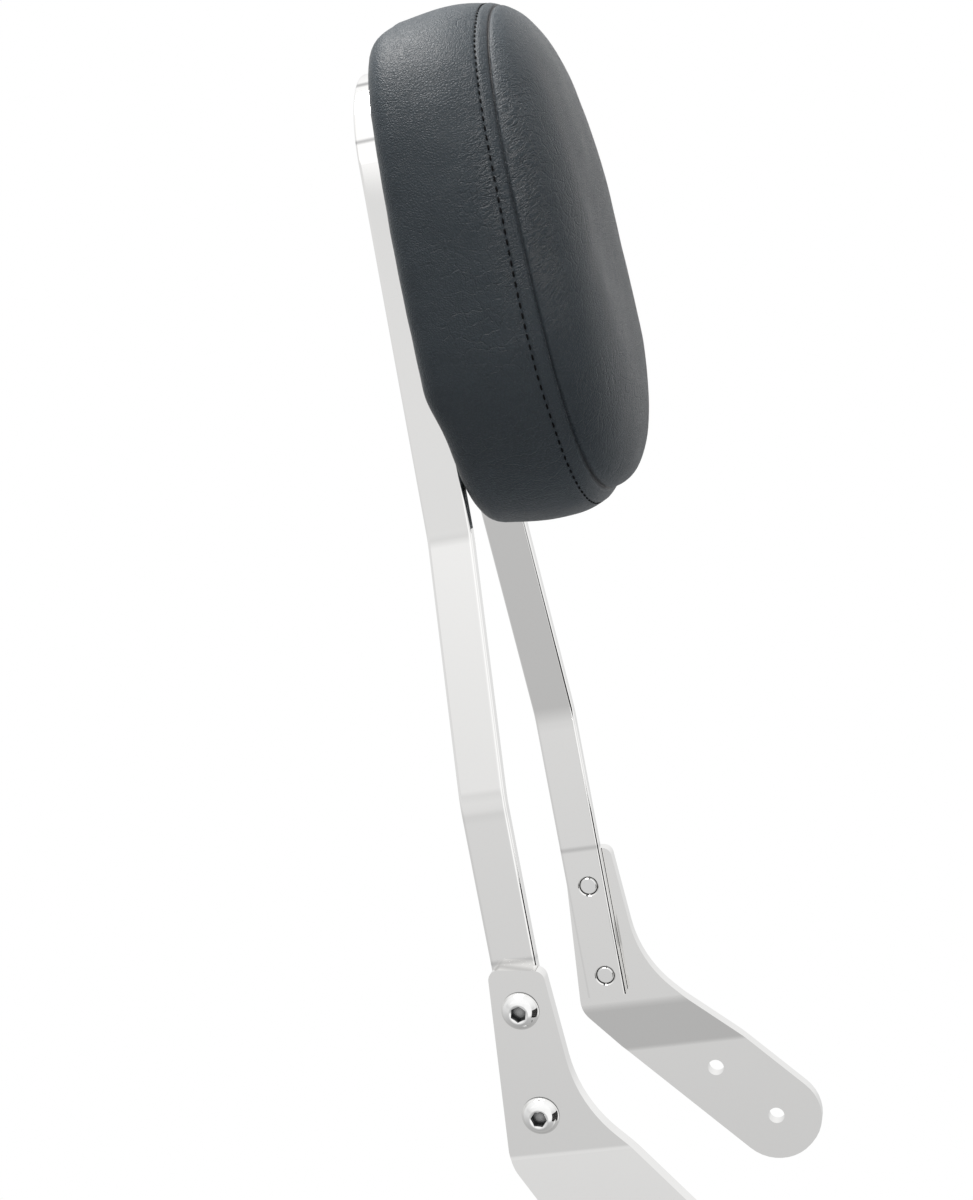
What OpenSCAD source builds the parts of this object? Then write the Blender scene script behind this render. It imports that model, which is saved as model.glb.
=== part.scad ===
// Sissy bar for a motorcycle: a bent flat-bar hoop on two side plates, with an upholstered back pad.
// X points to the front of the motorcycle, Y to its left, Z up. The origin is the middle of the
// rear strut-bolt line. The hoop leans back, so it is built upright in a local frame (x forward,
// y left, z along the hoop, zero at the upper plate bolt) and then tilted and moved as one.

/* [Hoop] */
// Lean of the whole hoop behind the vertical, in degrees
lean_deg = 11; // [4:0.5:18]
// Width of the flat bar, front to back
bar_w = 25.4; // [22:0.1:30]
// Thickness of the flat bar
bar_t = 9.5; // [7:0.1:11]
// How far the bar's four long edges are broken
bar_edge = 0.9; // [0.4:0.1:2]
// Half of the hoop's outer width at the side plates
foot_half_w = 116; // [104:0.5:128]
// Half of the hoop's outer width at the upper bend
top_half_w = 75.4; // [70:0.2:82]
// How far the uprights lean in towards each other above the upper bend, in degrees
lean_in = 2.6; // [0.4:0.2:4]
// Height of the lower bend above the upper plate bolt
lower_bend_h = 115.5; // [95:0.5:130]
// Height of the upper bend above the upper plate bolt
upper_bend_h = 256.5; // [240:0.5:270]
// Height of the hoop's top above the pad's widest place
top_over_pad = 133; // [128:0.5:140]
// Inside radius of the four flare bends
flare_r = 40; // [20:1:60]
// Outside radius of the two top corners
corner_r = 55; // [40:0.5:58]
// How far the bar runs on below the lower plate bolt
bar_tail = 14; // [11:0.5:18]

/* [Plate bolts] */
// Distance between the two bolts of a side plate
bolt_pitch = 60.4; // [52:0.2:66]
// How far the bolts sit in front of the bar's middle
bolt_ahead = 1.5; // [0:0.1:2]
// Thread diameter of the plate bolts
bolt_d = 12; // [10:0.5:13]
// Diameter of the domed head
bolt_head_d = 21; // [19:0.5:23]
// Height of the domed head
bolt_head_h = 6.6; // [5:0.1:8]
// Width of the hexagon socket across its flats
socket_af = 8; // [6:0.1:9]
// Depth of the hexagon socket
socket_depth = 4.6; // [3:0.1:4.8]
// Gap on the diameter between a thread and its tapped bore
thread_gap = 0.2; // [0.1:0.05:0.4]
// Gap on the diameter between a bolt and a plain hole
hole_gap = 0.6; // [0.3:0.1:1.2]

/* [Side plates] */
// Thickness of a side plate
plate_t = 9.5; // [7:0.1:11]
// Reach of the plate behind the bar's middle, at the upper bolt
plate_rear = 14.4; // [12.8:0.1:16]
// Reach of the plate in front of the bar's middle, at the upper bolt
plate_front = 19.3; // [17:0.1:22]
// Height of the plate's top edge above the upper bolt, in line with the bar's middle
plate_top = 23.2; // [21:0.2:30]
// Slope of the top edge, down towards the front, in degrees
top_slope = 8; // [0:0.5:12]
// Spread of the plate's upright edges on each side, in degrees
plate_spread = 4.2; // [1:0.1:6]
// Radius of the plate's two top corners
plate_top_r = 6; // [2:0.5:9]
// Radius of the hollow sweep at the front edge
front_sweep_r = 76; // [50:1:90]
// Radius of the corner at the rear edge
rear_corner_r = 22; // [14:1:30]
// Distance from the lower bolt down to the first bend line
bend_below = 23.1; // [20:0.5:28]
// Outward tilt of the leg below the first bend line, in degrees
leg_tilt = 18; // [10:0.5:24]
// Height of the tilted stretch between the two bend lines
leg_drop = 34; // [26:0.5:40]
// Inside radius of the two plate bends
plate_bend_r = 10; // [6:0.5:14]

/* [Strut mount] */
// Direction of the leg, in degrees forward of straight down
leg_dir = 42.5; // [38:0.5:46]
// Direction of the leg's rear edge between the two bend lines, in the same degrees
heel_dir = 34; // [30:0.5:38]
// Distance between the two strut holes of a plate
strut_pitch = 50; // [42:0.5:60]
// Diameter of the strut holes
strut_hole_d = 10.5; // [8:0.1:12]
// Distance from the second bend line straight down to the rear strut hole
strut_below = 20.3; // [17:0.1:26]
// Width of the leg
leg_w = 58; // [52:0.5:62]

/* [Pad] */
// Half of the pad's width
pad_half_w = 112.7; // [106:0.1:122]
// Height of the pad's widest place above the upper plate bolt
pad_mid_h = 384; // [380:0.5:390]
// Reach of the pad's back outline above its widest place
pad_up_back = 153.7; // [148:0.1:160]
// Reach of the pad's front outline above its widest place
pad_up_front = 164.5; // [158:0.1:170]
// Reach of the pad's back outline below its widest place
pad_down_back = 130.3; // [126:0.1:136]
// Reach of the pad's front outline below its widest place
pad_down_front = 137.2; // [132:0.1:143]
// Squareness of the top corners at the back, 2 is an ellipse
square_top_back = 4.2; // [2.6:0.1:4.6]
// Squareness of the top corners at the front
square_top_front = 2.7; // [2.2:0.1:3.5]
// Squareness of the bottom corners at the back
square_low_back = 2.6; // [2.4:0.1:3.5]
// Squareness of the bottom corners at the front
square_low_front = 2.5; // [2.2:0.1:4]
// How far the soft rim rolls back past the front of the bar
rim_roll = 5.7; // [0:0.1:6.5]
// Radius of the pad's rolled back rim
rim_r = 13; // [9:0.5:16]
// Depth from the bar's front to the front seam at mid height
seam_depth = 64.5; // [58:0.1:74]
// How much deeper the seam lies at the bottom than at mid height
seam_wedge = 7.3; // [0:0.1:14]
// How far the side pulls in at the front seam
seam_inset = 10.3; // [5:0.1:14]
// Height of the crowned front panel over its seam
crown_h = 29; // [18:0.1:34]
// Roundness of the crown across the panel
crown_power = 4; // [2.4:0.1:5]
// Thickness of the vinyl covering with its backing
cover_t = 1.6; // [1:0.1:2.2]
// Width of the flat hem that wraps round to the back of the board
hem_w = 14; // [8:0.5:18]
// Thickness of the board inside the pad
board_t = 12; // [10:0.5:15]

/* [Pad fixing] */
// Height of each cross strap
strap_h = 25; // [20:0.5:30]
// Thickness of each cross strap
strap_t = 4.8; // [3:0.1:6]
// Distance between the two cross straps
strap_pitch = 110; // [96:1:116]
// Distance from the hoop's top down to the middle of the upper strap
strap_from_top = 68.5; // [68:0.5:72]
// Distance of the pad screws from the uprights' inner faces, at the upper strap
screw_in = 17.2; // [14:0.1:26]
// Thread diameter of the pad screws
screw_d = 8; // [6:0.5:8]
// Width of a pad screw's hexagon head across its flats
screw_head_af = 13; // [12:0.1:14]
// Height of a pad screw's head
screw_head_h = 5.3; // [4:0.1:6.5]
// Length of a pad screw under its head
screw_len = 18; // [16:0.5:20]
// Outside diameter of a washer
washer_d = 17; // [16:0.5:20]
// Thickness of a washer
washer_t = 1.6; // [1:0.1:2]
// Outside diameter of a tee nut's flange
tee_flange_d = 22; // [18:0.5:24]
// Thickness of a tee nut's flange
tee_flange_t = 1.5; // [1:0.1:2]
// Outside diameter of a tee nut's barrel
tee_barrel_d = 10; // [9.5:0.1:11]
// Length of a tee nut's barrel behind its flange
tee_barrel_l = 9; // [7:0.5:9.5]
// Size of the weld bead along the ends of each strap
weld = 3; // [2:0.1:3.5]

/* [Hidden] */

// Fineness of round bores and edges, and of the straight steps along an arc of an outline
round_fn = 64;
arc_steps = 10;
flare_steps = 5;
corner_steps = 14;
// Radius of the slight corner in the leg's rear edge, and room above the plate for a cutting shape
knee_r = 40;
plate_room = 10;
// Number of points round the pad
pad_points = 60;
// How far each bore's shape runs past the faces that it goes through
cut = 1;

// Slope of the flared stretch, measured on the bar's outer face
flare_deg = atan((foot_half_w - top_half_w) / (upper_bend_h - lower_bend_h));
bar_front = bar_w / 2;
// Centre of a top corner: its height, and half of the straight stretch between the two corners
corner_z = pad_mid_h + top_over_pad - corner_r;
cross_half = top_half_w - (corner_z - upper_bend_h) * tan(lean_in) - corner_r / cos(lean_in);
right = -1;
left = 1;

// Side plate: heights of its two bend lines, its strut holes and its rounded end
bend1_z = -bolt_pitch - bend_below;
bend2_z = bend1_z - leg_drop;
rear_hole_z = bend2_z - strut_below;
leg_lead = 6.2;
leg_dir_x = sin(leg_dir);
leg_dir_z = -cos(leg_dir);
leg_side_x = cos(leg_dir);
leg_side_z = sin(leg_dir);
// The leg's middle line meets the first bend line this far ahead of the plate's middle
leg_start_x = (plate_front - plate_rear) / 2 + leg_lead;
rear_hole_x = leg_start_x + (bend1_z - rear_hole_z) * tan(leg_dir);
front_hole_x = rear_hole_x + strut_pitch * leg_dir_x;
front_hole_z = rear_hole_z + strut_pitch * leg_dir_z;
leg_offset = leg_drop * tan(leg_tilt);

// Pad: depths of its back, its board and the screws, measured forward from the bar's middle
back_x = bar_front;
rim_x = bar_front - rim_roll;
board_x = back_x + cover_t;
board_inset = 2 * rim_r + 1;
hem_inset = board_inset + hem_w;
skin_gap = 0.2;
// How steeply the crown rises from its seam, less being steeper
crown_edge = 0.65;
// The rim comes forward to the bars from this far below mid height, over this height
rim_low = 43;
rim_fade = 36;
// The rim lies against the hoop's top from this far inside its outer faces, and rolls back over this width
rim_lap = 12;
rim_side_fade = 18;
strap_x = bar_front - strap_t;
washer_x = strap_x - washer_t;

module to_part() {
    rotate([0, -lean_deg, 0]) translate([-rear_hole_x, 0, -rear_hole_z]) children();
}

module along_x(x0, length) {
    translate([x0, 0, 0]) rotate([90, 0, 90]) linear_extrude(length) children();
}

module along_y(y0, length) {
    translate([0, y0 + length, 0]) rotate([90, 0, 0]) linear_extrude(length) children();
}

// A round bar or bore whose axis lies along x or y
module rod_x(x0, length, d, fn = round_fn) {
    translate([x0, 0, 0]) rotate([0, 90, 0]) cylinder(h = length, d = d, $fn = fn);
}

module rod_y(y0, length, d, fn = round_fn) {
    translate([0, y0, 0]) rotate([-90, 0, 0]) cylinder(h = length, d = d, $fn = fn);
}

// Points of an arc, both ends included
function arc(c, r, a0, a1, steps = arc_steps) =
    [for (i = [0 : steps]) let (a = a0 + (a1 - a0) * i / steps) c + r * [cos(a), sin(a)]];

// Rounds one corner of an outline: p is the corner, a and b its neighbours
function fillet(a, p, b, r, steps) =
    let (
        ua = (a - p) / norm(a - p),
        ub = (b - p) / norm(b - p),
        half = acos(ua * ub) / 2,
        c = p + (ua + ub) / norm(ua + ub) * r / sin(half),
        t0 = p + ua * r / tan(half) - c,
        t1 = p + ub * r / tan(half) - c,
        a0 = atan2(t0[1], t0[0]),
        turn = atan2(t0[0] * t1[1] - t0[1] * t1[0], t0 * t1)
    ) arc(c, r, a0, a0 + turn, steps);

// Outline through corners of the form [x, y, radius]
function rounded(c, steps = arc_steps) =
    [for (i = [0 : len(c) - 1])
        let (
            n = len(c),
            a = c[(i + n - 1) % n],
            p = c[i],
            b = c[(i + 1) % n]
        ) each fillet([a[0], a[1]], [p[0], p[1]], [b[0], b[1]], p[2], steps)];

function mix(a, b, t) = a + (b - a) * t;
function reversed(v) = [for (i = [len(v) - 1 : -1 : 0]) v[i]];

// Skin through rings of equal length. The ends close on tip points, or on each other if there are none
module loft(rings, tips) {
    m = len(rings);
    n = len(rings[0]);
    flat = [for (r = rings) each r];
    last = (m - 1) * n;
    steps = len(tips) == 0 ? m : m - 1;
    polyhedron(
        points = concat(flat, tips),
        faces = concat(
            [for (i = [0 : steps - 1], j = [0 : n - 1])
                let (a = i * n, b = ((i + 1) % m) * n, k = (j + 1) % n)
                    each [[a + j, b + j, b + k], [a + j, b + k, a + k]]],
            len(tips) == 0 ? [] : concat(
                [for (j = [0 : n - 1]) [m * n, j, (j + 1) % n]],
                [for (j = [0 : n - 1]) [m * n + 1, last + (j + 1) % n, last + j]]
            )
        ),
        convexity = 6
    );
}

// Hoop

// Section of the flat bar as [outward, forward] points
function bar_section() =
    let (a = bar_t / 2, b = bar_w / 2, c = bar_edge) [
        [c - a, -b], [-a, c - b], [-a, b - c], [c - a, b],
        [a - c, b], [a, b - c], [a, c - b], [a - c, -b]
    ];

// Inner face of an upright above the upper bend, at height z
function inner_y(z) = top_half_w - (z - upper_bend_h) * tan(lean_in) - bar_t / cos(lean_in);

// Places along a bend as [y, z, direction of the outer face], with r from its centre to the bar's middle
function bend(y, z, r, a0, a1, steps) =
    [for (i = [0 : steps]) let (a = mix(a0, a1, i / steps)) [y + r * cos(a), z + r * sin(a), a]];

// Places along the left half of the hoop, from its foot to the end of the top corner
function half_path() =
    let (
        mid_r = flare_r + bar_t / 2,
        low_y = foot_half_w - bar_t - flare_r,
        low_z = lower_bend_h - (flare_r + bar_t) * tan(flare_deg / 2),
        // This bend's centre lies off the corner of the two outer faces, along the line that halves it
        half_turn = (flare_deg - lean_in) / 2,
        off = flare_r / cos(half_turn),
        up_y = top_half_w + off * cos(flare_deg - half_turn),
        up_z = upper_bend_h + off * sin(flare_deg - half_turn)
    ) concat(
        [[foot_half_w - bar_t / 2, -bolt_pitch - bar_tail, 0]],
        bend(low_y, low_z, mid_r, 0, flare_deg, flare_steps),
        bend(up_y, up_z, -mid_r, flare_deg, lean_in, flare_steps),
        bend(cross_half, corner_z, corner_r - bar_t / 2, lean_in, 90, corner_steps)
    );

module hoop() {
    path = concat(half_path(), [for (q = reversed(half_path())) [-q[0], q[1], 180 - q[2]]]);
    rings = [for (q = path) [for (c = bar_section()) [c[1], q[0] + c[0] * cos(q[2]), q[1] + c[0] * sin(q[2])]]];
    first = path[0];
    color("silver") to_part() difference() {
        loft(rings, [[0, first[0], first[1]], [0, -first[0], first[1]]]);
        for (z = [0, -bolt_pitch], y = [-foot_half_w, foot_half_w - bar_t]) {
            translate([bolt_ahead, 0, z]) rod_y(y - cut, bar_t + 2 * cut, bolt_d + thread_gap);
        }
    }
}

// Side plates

// Outline of the plate seen from the side
function plate_outline() =
    let (
        k = tan(plate_spread),
        g = tan(top_slope),
        half_w = leg_w / 2,
        e = [front_hole_x, front_hole_z],
        u = [leg_dir_x, leg_dir_z],
        s = [leg_side_x, leg_side_z],
        tip_front = e + half_w * (s + u),
        tip_rear = e + half_w * (u - s),
        end_r = 0.96 * half_w,
        // The top edge runs on to the two upright edges
        top_front_x = (plate_front - k * plate_top) / (1 - k * g),
        top_rear_x = (-plate_rear + k * plate_top) / (1 + k * g),
        // The front edges meet at the waist, the rear ones at the heel and at the knee
        waist_t = (tip_front[0] - plate_front + k * tip_front[1]) / (u[0] + k * u[1]),
        waist = tip_front - waist_t * u,
        knee = tip_rear + (bend2_z - tip_rear[1]) / u[1] * u,
        w = [sin(heel_dir), -cos(heel_dir)],
        heel_t = (knee[0] + plate_rear - k * knee[1]) / (w[0] - k * w[1]),
        heel = knee - heel_t * w
    ) rounded([
        [top_front_x, plate_top - g * top_front_x, plate_top_r],
        [top_rear_x, plate_top - g * top_rear_x, plate_top_r],
        [heel[0], heel[1], rear_corner_r],
        [knee[0], knee[1], knee_r],
        [tip_rear[0], tip_rear[1], end_r],
        [tip_front[0], tip_front[1], end_r],
        [waist[0], waist[1], front_sweep_r]
    ]);

// Section of the bent plate in the y-z plane, y measured outward from the mid-plane
function plate_section() =
    let (
        y0 = foot_half_w,
        y1 = foot_half_w + plate_t,
        y2 = y1 + leg_offset,
        th = tan(leg_tilt / 2),
        c1 = [y1 + plate_bend_r, bend1_z + plate_bend_r * th],
        c2 = [y2 - plate_bend_r - plate_t, bend2_z - (plate_bend_r + plate_t) * th],
        low = front_hole_z - leg_w
    ) concat(
        [[y0, plate_top + plate_room]],
        arc(c1, plate_bend_r + plate_t, 180, 180 + leg_tilt),
        arc(c2, plate_bend_r, leg_tilt, 0),
        [[y2 - plate_t, low], [y2, low]],
        arc(c2, plate_bend_r + plate_t, 0, leg_tilt),
        arc(c1, plate_bend_r, 180 + leg_tilt, 180),
        [[y1, plate_top + plate_room]]
    );

module side_plate(side) {
    reach = front_hole_x + leg_w;
    color("silver") to_part() mirror([0, side < 0 ? 1 : 0, 0]) difference() {
        intersection() {
            along_x(-reach, 2 * reach) polygon(plate_section());
            along_y(foot_half_w - cut, plate_t + leg_offset + 2 * cut) polygon(plate_outline());
        }
        for (z = [0, -bolt_pitch]) {
            translate([bolt_ahead, 0, z]) rod_y(foot_half_w - cut, plate_t + 2 * cut, bolt_d + hole_gap);
        }
        for (h = [[rear_hole_x, rear_hole_z], [front_hole_x, front_hole_z]]) {
            translate([h[0], 0, h[1]])
                rod_y(foot_half_w + leg_offset - cut, plate_t + 2 * cut, strut_hole_d);
        }
    }
}

// Button-head socket bolt through a side plate into the bar, its end flush with the inner face
module plate_bolt(side, z) {
    crown_flat = bolt_head_d * 0.52;
    rise = bolt_head_h - 0.9;
    drop_r = (bolt_head_d - crown_flat) / 2;
    dome_r = (rise * rise + drop_r * drop_r) / (2 * rise) + drop_r;
    shank = plate_t + bar_t;
    end_c = 1.2;
    // Distance of the dome's centre below the flat top
    dome_c = sqrt(dome_r * dome_r - crown_flat * crown_flat / 4);
    rim_h = bolt_head_h - dome_c + sqrt(dome_r * dome_r - bolt_head_d * bolt_head_d / 4);
    color("gainsboro") to_part()
        translate([bolt_ahead, side * (foot_half_w + plate_t), z]) rotate([-90 * side, 0, 0]) difference() {
            rotate_extrude($fn = round_fn) {
                intersection() {
                    translate([0, bolt_head_h - dome_c]) circle(r = dome_r, $fn = 128);
                    square([bolt_head_d / 2, bolt_head_h]);
                }
                translate([0, -shank + end_c]) square([bolt_d / 2, shank - end_c]);
                polygon([[0, -shank], [bolt_d / 2 - end_c, -shank], [bolt_d / 2, -shank + end_c],
                         [0, -shank + end_c]]);
            }
            translate([0, 0, bolt_head_h - socket_depth])
                cylinder(h = socket_depth + cut, d = socket_af / cos(30), $fn = 6);
        }
}

// Cross straps, welded between the uprights with their fronts in line with the bar's front

module strap(z) {
    low = inner_y(z - strap_h / 2);
    high = inner_y(z + strap_h / 2);
    color("silver") to_part() difference() {
        union() {
            along_x(strap_x, strap_t) polygon([
                [-low, z - strap_h / 2], [low, z - strap_h / 2], [high, z + strap_h / 2], [-high, z + strap_h / 2]
            ]);
            for (s = [0, 1]) {
                mirror([0, s, 0]) translate([strap_x, inner_y(z), z]) rotate([lean_in, 0, 0])
                    translate([0, 0, weld - strap_h / 2]) linear_extrude(strap_h - 2 * weld)
                        polygon([[0, 0], [-weld, 0], [0, -weld]]);
            }
        }
        for (s = [right, left]) {
            translate([0, s * screw_y(), z]) rod_x(strap_x - cut, strap_t + 2 * cut, screw_d + hole_gap);
        }
    }
}

// Pad

function ease(t) = let (u = max(0, min(1, t))) u * u * (3 - 2 * u);
function root(v, p) = sign(v) * pow(abs(v), p);

// One point of the pad's outline as [y, z]. f runs from 0 at the back to 1 at the seam
function pad_point(a, f, inset) =
    let (
        up = sin(a) >= 0,
        m = up ? mix(square_top_back, square_top_front, f) : mix(square_low_back, square_low_front, f),
        h = up ? mix(pad_up_back, pad_up_front, f) : mix(pad_down_back, pad_down_front, f)
    ) [(pad_half_w - inset) * root(cos(a), 2 / m), pad_mid_h + (h - inset) * root(sin(a), 2 / m)];

function pad_ring(f, inset) =
    [for (i = [0 : pad_points - 1]) pad_point((i + 0.5) * 360 / pad_points, f, inset)];

// The rim rolls back outside the hoop, and lies against its front low down and where the hoop crosses it
function rim_depth(q) =
    let (
        outside = (abs(q[0]) - top_half_w + rim_lap) / rim_side_fade,
        below = (pad_mid_h - rim_low - q[1]) / rim_fade
    ) mix(back_x, rim_x, ease(outside) * ease(1 - below));

// The seam lies deeper towards the bottom, so that the pad is thicker there
function seam_x(z) =
    let (t = (z - pad_mid_h) / pad_up_back) back_x + seam_depth - seam_wedge * t + t * t;

// Rings of the pad's skin from the edge of the hem to the seam, k below the outer surface
function back_rings(k, inner_inset) = concat(
    [[for (q = pad_ring(0, inner_inset)) [back_x + k, q[0], q[1]]]],
    [[for (q = pad_ring(0, board_inset)) [back_x + k, q[0], q[1]]]],
    [for (b = [0 : 30 : 90])
        [for (q = pad_ring(0, rim_r - (rim_r - k) * sin(b)))
            [rim_depth(q) + rim_r - (rim_r - k) * cos(b), q[0], q[1]]]],
    [for (f = [0.3, 0.6, 0.8, 0.92])
        [for (q = pad_ring(f, k + seam_inset * pow(f, 3)))
            [mix(rim_depth(q) + rim_r, seam_x(q[1]), f), q[0], q[1]]]],
    [seam_ring(k)]
);

function seam_ring(k) =
    [for (q = pad_ring(1, k + seam_inset)) [seam_x(q[1]), q[0], q[1]]];

// Rings of the crowned front, from the seam towards the middle
function crown_rings(k) =
    [for (b = [12, 24, 36, 48, 60, 72, 82])
        [for (q = pad_ring(1, k + seam_inset))
            let (
                r = cos(b),
                z = pad_mid_h + (q[1] - pad_mid_h) * r,
                rise = (crown_h - k) * pow(1 - pow(r, crown_power), crown_edge)
            ) [mix(seam_x(pad_mid_h), seam_x(q[1]), r) + rise, q[0] * r, z]]];

function crown_tip(k) = [seam_x(pad_mid_h) + crown_h - k, 0, pad_mid_h];

module side_cover() {
    color([0.14, 0.15, 0.16]) to_part()
        loft(concat(back_rings(0, hem_inset), reversed(back_rings(cover_t, hem_inset))), []);
}

module front_cover() {
    color([0.16, 0.17, 0.18]) to_part()
        loft(
            concat(reversed(crown_rings(cover_t)), [seam_ring(cover_t), seam_ring(0)], crown_rings(0)),
            [crown_tip(cover_t), crown_tip(0)]
        );
}

module pad_foam() {
    k = cover_t + skin_gap;
    board_front = board_x + board_t + skin_gap;
    edge = board_inset - skin_gap;
    color("khaki") to_part()
        loft(
            concat(
                [[for (q = pad_ring(0, edge)) [board_front, q[0], q[1]]]],
                [[for (q = pad_ring(0, edge)) [back_x + k, q[0], q[1]]]],
                [for (i = [2 : len(back_rings(k, edge)) - 1]) back_rings(k, edge)[i]],
                crown_rings(k)
            ),
            [[board_front, 0, pad_mid_h], crown_tip(k)]
        );
}

// Places of the four pad screws
function screw_z(level) = pad_mid_h + top_over_pad - strap_from_top - (1 - level) / 2 * strap_pitch;
function screw_y() = inner_y(screw_z(1)) - screw_in;

module at_screw(level, side) {
    to_part() translate([0, side * screw_y(), screw_z(level)]) children();
}

module each_screw() {
    for (level = [-1, 1], side = [right, left]) {
        translate([0, side * screw_y(), screw_z(level)]) children();
    }
}

module pad_board() {
    color("burlywood") to_part() difference() {
        along_x(board_x, board_t) polygon(pad_ring(0, board_inset));
        each_screw() {
            rod_x(board_x - cut, board_t + 2 * cut, tee_barrel_d + hole_gap);
            rod_x(board_x + board_t - tee_flange_t, tee_flange_t + cut, tee_flange_d + hole_gap);
        }
    }
}

module back_panel() {
    color([0.1, 0.1, 0.11]) to_part() difference() {
        along_x(back_x, cover_t) polygon(pad_ring(0, hem_inset + skin_gap));
        each_screw() rod_x(back_x - cut, cover_t + 2 * cut, screw_d + hole_gap);
    }
}

module pad_screw(level, side) {
    color("dimgray") at_screw(level, side) {
        rod_x(washer_x - screw_head_h, screw_head_h, screw_head_af / cos(30), 6);
        rod_x(washer_x - cut, screw_len + cut, screw_d);
    }
}

module washer(level, side) {
    color("darkgray") at_screw(level, side) difference() {
        rod_x(washer_x, washer_t, washer_d);
        rod_x(washer_x - cut, washer_t + 2 * cut, screw_d + hole_gap);
    }
}

module tee_nut(level, side) {
    front = board_x + board_t;
    color("darkgray") at_screw(level, side) difference() {
        union() {
            rod_x(front - tee_flange_t, tee_flange_t, tee_flange_d);
            rod_x(front - tee_flange_t - tee_barrel_l, tee_barrel_l + cut, tee_barrel_d);
        }
        rod_x(front - tee_flange_t - tee_barrel_l - cut, tee_barrel_l + tee_flange_t + 2 * cut,
              screw_d + thread_gap);
    }
}

hoop();
side_plate(right);  // right_side_plate
side_plate(left);  // left_side_plate
plate_bolt(right, 0);  // right_upper_plate_bolt
plate_bolt(right, -bolt_pitch);  // right_lower_plate_bolt
plate_bolt(left, 0);  // left_upper_plate_bolt
plate_bolt(left, -bolt_pitch);  // left_lower_plate_bolt
strap(screw_z(1));  // upper_strap
strap(screw_z(-1));  // lower_strap
pad_board();
pad_foam();
front_cover();
side_cover();
back_panel();
pad_screw(1, right);  // upper_right_pad_screw
pad_screw(1, left);  // upper_left_pad_screw
pad_screw(-1, right);  // lower_right_pad_screw
pad_screw(-1, left);  // lower_left_pad_screw
washer(1, right);  // upper_right_washer
washer(1, left);  // upper_left_washer
washer(-1, right);  // lower_right_washer
washer(-1, left);  // lower_left_washer
tee_nut(1, right);  // upper_right_tee_nut
tee_nut(1, left);  // upper_left_tee_nut
tee_nut(-1, right);  // lower_right_tee_nut
tee_nut(-1, left);  // lower_left_tee_nut
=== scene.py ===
import math
import random

import bmesh
import bpy
import numpy as np
from mathutils import Matrix, Vector


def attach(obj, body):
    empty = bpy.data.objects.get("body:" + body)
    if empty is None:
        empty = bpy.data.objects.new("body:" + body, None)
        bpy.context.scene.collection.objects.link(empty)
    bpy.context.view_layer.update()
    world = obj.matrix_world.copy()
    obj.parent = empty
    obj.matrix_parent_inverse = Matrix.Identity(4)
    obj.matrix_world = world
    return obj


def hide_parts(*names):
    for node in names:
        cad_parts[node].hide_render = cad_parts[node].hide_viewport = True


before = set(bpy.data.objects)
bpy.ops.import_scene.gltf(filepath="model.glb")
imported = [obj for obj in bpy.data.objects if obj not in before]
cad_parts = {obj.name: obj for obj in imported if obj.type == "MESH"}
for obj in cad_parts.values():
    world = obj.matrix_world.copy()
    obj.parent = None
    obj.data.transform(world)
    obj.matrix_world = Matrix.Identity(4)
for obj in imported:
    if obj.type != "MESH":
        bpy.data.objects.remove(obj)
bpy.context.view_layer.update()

MM = 0.001
scene = bpy.context.scene

# Sizes in mm, as in the part's source

LEAN = math.radians(11)
HOLE_X, HOLE_Z = 58.4068, -137.8      # rear strut hole in the hoop's own upright frame
BAR_W, BAR_T = 25.4, 9.5
BAR_FRONT = BAR_W / 2
FOOT_Y, TOP_Y = 116.0, 75.4
LEAN_IN = math.radians(2.6)
LOW_Z, UP_Z, TOP_Z = 115.5, 256.5, 517.0
FLARE_R, CORNER_R = 40.0, 55.0
FLARE = math.atan((FOOT_Y - TOP_Y) / (UP_Z - LOW_Z))
TAIL_Z = -74.4
PLATE_T = 9.5
BOLT_X, BOLT_PITCH = 1.5, 60.4
BOLT_HEIGHTS = {"upper": 0.0, "lower": -BOLT_PITCH}

PAD_Y, PAD_Z = 112.7, 384.0
PAD_UP = (153.7, 164.5)               # reach above the widest place, at the back and at the seam
PAD_DOWN = (130.3, 137.2)
SQ_UP = (4.2, 2.7)                    # how square the outline is, at the back and at the seam
SQ_DOWN = (2.6, 2.5)
RIM_X, RIM_R = BAR_FRONT - 5.7, 13.0
RIM_LAP, RIM_SIDE_FADE, RIM_LOW, RIM_FADE = 12.0, 18.0, 43.0, 36.0
SEAM_DEPTH, SEAM_WEDGE, SEAM_INSET = 64.5, 7.3, 10.3
SEAM_LIFT = 6.0                       # how much further in the sewn seam lies at the very bottom
CROWN_H, CROWN_P, CROWN_EDGE = 29.0, 4.0, 0.65
BOARD_INSET, BOARD_T = 27.0, 12.0
HEM_INSET = 41.0
PAD_INSIDE = np.array([45.0, 0.0, PAD_Z])   # a point well inside the pad

# Sizes in mm that only this script has

BAR_ROUND = 1.9                       # the bar's rounded long edges
COVER_T = 1.9                         # how far in front of the bar the covering's flat back is closed
FOAM_IN = 2.8                         # the foam's distance inside the covering's outer face
RECESS_GAP, RECESS_BACK = 0.4, 2.2    # room round the board and behind it in the foam's recess
STITCH_BACK, STITCH_BACK_TOP = 9.2, 7.7   # how far the topstitch runs behind the seam, below and above
STITCH_LONG, STITCH_SHORT = 5.6, 3.8  # stitch pitch along the straights and round the top
STITCH_R, STITCH_SHARE = 0.55, 0.66   # thread radius, and the part of the pitch that a stitch covers
STAPLES = 52


def to_part(p):
    """Points of the hoop's upright frame, in mm, to the row's frame in metres."""
    p = np.asarray(p, float).reshape(-1, 3)
    x, y, z = p[:, 0] - HOLE_X, p[:, 1], p[:, 2] - HOLE_Z
    c, s = math.cos(LEAN), math.sin(LEAN)
    return np.stack([c * x - s * z, y, s * x + c * z], -1) * MM


# Node helpers

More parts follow.
